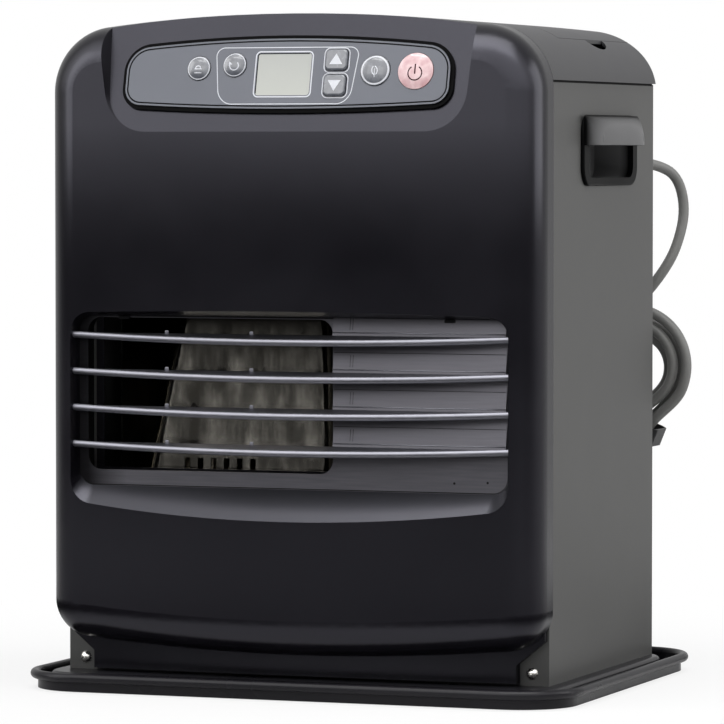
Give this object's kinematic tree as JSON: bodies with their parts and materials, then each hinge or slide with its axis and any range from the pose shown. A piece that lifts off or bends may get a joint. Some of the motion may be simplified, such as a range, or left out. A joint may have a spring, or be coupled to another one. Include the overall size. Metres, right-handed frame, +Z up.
{
  "type": "paraffin heater",
  "caption": "Compact forced-air paraffin heater: bowed dark front with an arched control fascia and slatted warm-air outlet, hinged tank lid, side grips, drip tray and coiled mains lead.",
  "frame": {"origin": "middle of the underside of the base tray", "axes": "+Z up, +X to the heater's right as seen from the front, front towards -Y"},
  "size_m": [0.371, 0.3321, 0.429],
  "materials": {
    "charcoal_paint": "satin charcoal powder coat on folded sheet steel",
    "black_paint": "satin black enamel on pressed sheet steel",
    "satin_moulding": "satin charcoal moulding",
    "black_moulding": "fine-grained black moulding",
    "fascia_film": "silver blue-grey film on a moulded plate",
    "clear_button": "clear domed cap over a silver print",
    "pale_button": "translucent pale cap",
    "display_lens": "clear flat lens",
    "display_case": "pale grey-green liquid-crystal cell in a frame",
    "slat_metal": "bright satin edge on a darkened blade",
    "baffle_steel": "dark heat-toned sheet steel",
    "chamber_steel": "polished stainless steel, slightly warm",
    "zinc_steel": "zinc-plated sheet and turned steel",
    "brass_fitting": "cast brass",
    "copper_pipe": "drawn copper tube",
    "ceramic_rod": "white alumina rod",
    "circuit_board": "green glass-epoxy board",
    "fan_plastic": "dark grey moulded fan",
    "filter_mesh": "dark woven dust screen",
    "screw_steel": "bright plated screws",
    "cord_sheath": "grey flexible sheath and moulded plug",
    "tie_band": "black tie band"
  },
  "bodies": {
    "housing": {"base_tray": "black_paint", "burner_deck": "zinc_steel", "burner_head": "chamber_steel", "case_screws": "screw_steel", "combustion_chamber": "chamber_steel", "control_board": "circuit_board", "control_fascia": "fascia_film", "cord_drop": "cord_sheath", "cord_gland": "black_moulding", "cord_hank": "cord_sheath", "cord_tie": "tie_band", "display_module": "display_case", "display_window": "display_lens", "dust_filter": "filter_mesh", "fan_guard": "black_moulding", "fan_motor": "zinc_steel", "fan_shroud": "black_moulding", "fascia_bezel": "black_moulding", "flame_ring": "chamber_steel", "flame_sensor": "ceramic_rod", "front_bulkhead": "black_paint", "front_panel": "satin_moulding", "front_screws": "screw_steel", "fuel_pipe": "copper_pipe", "fuel_pump": "zinc_steel", "fuel_strainer": "black_moulding", "fuel_tank": "zinc_steel", "grille_baffle": "baffle_steel", "grille_slat_1": "slat_metal", "grille_slat_2": "slat_metal", "grille_slat_3": "slat_metal", "grille_slat_4": "slat_metal", "heat_shield": "baffle_steel", "igniter": "ceramic_rod", "left_grip": "black_moulding", "left_side_panel": "charcoal_paint", "lid_hinge_pin": "zinc_steel", "main_board": "circuit_board", "plug": "cord_sheath", "rear_panel": "zinc_steel", "right_grip": "black_moulding", "right_side_panel": "charcoal_paint", "room_sensor": "black_moulding", "sump_tank": "zinc_steel", "tank_bail": "black_moulding", "tank_cap": "black_moulding", "tilt_switch": "black_moulding", "top_cover": "satin_moulding", "transformer": "zinc_steel", "vaporiser": "brass_fitting"},
    "lid": {"tank_lid": "satin_moulding"},
    "fan": {"fan_rotor": "fan_plastic", "motor_shaft": "zinc_steel"},
    "lock_key": {"lock_button": "clear_button"},
    "mode_key": {"mode_button": "clear_button"},
    "up_key": {"up_button": "clear_button"},
    "down_key": {"down_button": "clear_button"},
    "economy_key": {"economy_button": "clear_button"},
    "power_key": {"power_button": "pale_button"}
  },
  "joints": [
    {"name": "lid_hinge", "type": "hinge", "parent": "housing", "child": "lid", "pos_m": [0.0335, 0, 0.42529], "axis": [0, -1, 0], "range_deg": [0, 90]},
    {"name": "fan_spin", "type": "hinge", "parent": "housing", "child": "fan", "pos_m": [-0.058, 0.093, 0.19], "axis": [0, 1, 0], "continuous": true},
    {"name": "lock_press", "type": "slide", "parent": "housing", "child": "lock_key", "axis": [0, 0.9703, -0.2419], "range_m": [0, 0.001], "stiffness_N_per_m": 400},
    {"name": "mode_press", "type": "slide", "parent": "housing", "child": "mode_key", "axis": [0, 0.9703, -0.2419], "range_m": [0, 0.001], "stiffness_N_per_m": 400},
    {"name": "up_press", "type": "slide", "parent": "housing", "child": "up_key", "axis": [0, 0.9703, -0.2419], "range_m": [0, 0.001], "stiffness_N_per_m": 400},
    {"name": "down_press", "type": "slide", "parent": "housing", "child": "down_key", "axis": [0, 0.9703, -0.2419], "range_m": [0, 0.001], "stiffness_N_per_m": 400},
    {"name": "economy_press", "type": "slide", "parent": "housing", "child": "economy_key", "axis": [0, 0.9703, -0.2419], "range_m": [0, 0.001], "stiffness_N_per_m": 400},
    {"name": "power_press", "type": "slide", "parent": "housing", "child": "power_key", "axis": [0, 0.9703, -0.2419], "range_m": [0, 0.001], "stiffness_N_per_m": 400}
  ]
}
